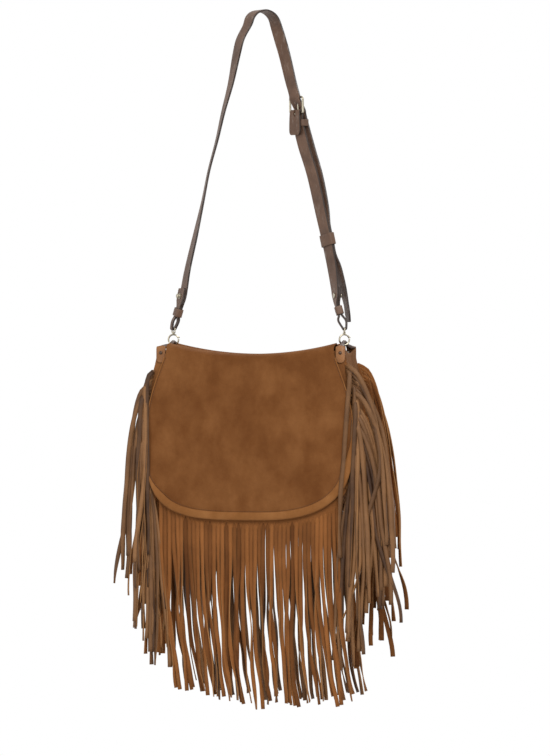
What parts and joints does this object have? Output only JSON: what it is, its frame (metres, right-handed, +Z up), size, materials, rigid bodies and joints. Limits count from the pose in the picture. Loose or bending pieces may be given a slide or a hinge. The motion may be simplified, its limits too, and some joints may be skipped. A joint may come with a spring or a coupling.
{
  "type": "fringed suede bag",
  "caption": "Suede shoulder bag with a rounded flap over its front, long cut fringe all round, and an adjustable leather strap on snap hooks.",
  "frame": {"origin": "underside of the strap's crown, where the peg or hand that holds the bag up carries it", "axes": "+Z up, the bag's front and flap face -Y, +X is to the right seen from the front"},
  "size_m": [0.3764, 0.0839, 0.9292],
  "materials": {
    "suede": "napped suede",
    "edge_binding": "napped suede",
    "fringe_suede": "napped suede",
    "gusset_suede": "napped suede",
    "bridge_leather": "smooth leather",
    "strap_leather": "smooth leather with painted edges",
    "lining_cloth": "plain weave",
    "pale_metal": "polished pale gold plating"
  },
  "bodies": {
    "bag": {"back_fringe": "fringe_suede", "back_panel": "suede", "bridge_rivet_left_back": "pale_metal", "bridge_rivet_left_front": "pale_metal", "bridge_rivet_right_back": "pale_metal", "bridge_rivet_right_front": "pale_metal", "bridge_strap_left": "bridge_leather", "bridge_strap_right": "bridge_leather", "buckle_frame": "pale_metal", "buckle_keeper": "strap_leather", "end_keeper_left": "strap_leather", "end_keeper_right": "strap_leather", "flap": "suede", "flap_binding": "edge_binding", "front_fringe": "fringe_suede", "front_panel": "suede", "gusset": "gusset_suede", "left_back_fringe": "fringe_suede", "left_front_fringe": "fringe_suede", "lining": "lining_cloth", "long_strap": "strap_leather", "lower_strap": "strap_leather", "right_back_fringe": "fringe_suede", "right_front_fringe": "fringe_suede", "snap_post": "pale_metal", "snap_socket": "pale_metal", "stud_left": "pale_metal", "stud_right": "pale_metal"},
    "prong": {"buckle_prong": "pale_metal"},
    "sliding_keeper": {"sliding_keeper": "strap_leather"},
    "eye_left": {"hook_eye_left": "pale_metal"},
    "hook_left": {"snap_hook_left": "pale_metal"},
    "gate_left": {"hook_gate_left": "pale_metal"},
    "eye_right": {"hook_eye_right": "pale_metal"},
    "hook_right": {"snap_hook_right": "pale_metal"},
    "gate_right": {"hook_gate_right": "pale_metal"}
  },
  "joints": [
    {"name": "eye_swing_left", "type": "hinge", "parent": "bag", "child": "eye_left", "pos_m": [-0.124, 0, -0.4264], "axis": [-0.6428, 0.766, 0], "range_deg": [-3, 3]},
    {"name": "hook_swivel_left", "type": "hinge", "parent": "eye_left", "child": "hook_left", "pos_m": [-0.124, 0, -0.4264], "axis": [0, 0, 1], "range_deg": [-28, 22]},
    {"name": "gate_hinge_left", "type": "hinge", "parent": "hook_left", "child": "gate_left", "pos_m": [-0.11909, 0.00034, -0.43736], "axis": [-0.0698, 0.9976, 0], "range_deg": [0, 24], "stiffness_Nm_per_rad": 0.005, "springref_deg": -5.73},
    {"name": "eye_swing_right", "type": "hinge", "parent": "bag", "child": "eye_right", "pos_m": [0.114, 0, -0.4264], "axis": [-0.342, 0.9397, 0], "range_deg": [-3, 3]},
    {"name": "hook_swivel_right", "type": "hinge", "parent": "eye_right", "child": "hook_right", "pos_m": [0.114, 0, -0.4264], "axis": [0, 0, 1], "range_deg": [-55, 0]},
    {"name": "gate_hinge_right", "type": "hinge", "parent": "hook_right", "child": "gate_right", "pos_m": [0.11826, 0.00246, -0.43736], "axis": [-0.5, 0.866, 0], "range_deg": [0, 24], "stiffness_Nm_per_rad": 0.005, "springref_deg": -5.73},
    {"name": "prong_hinge", "type": "hinge", "parent": "bag", "child": "prong", "pos_m": [0.04473, 0.0137, -0.1361], "axis": [0.829, -0.5592, 0], "range_deg": [-2, 0]},
    {"name": "keeper_slide", "type": "slide", "parent": "bag", "child": "sliding_keeper", "axis": [-0.2144, 0.0543, 0.9752], "range_m": [-0.004, 0.004]}
  ]
}
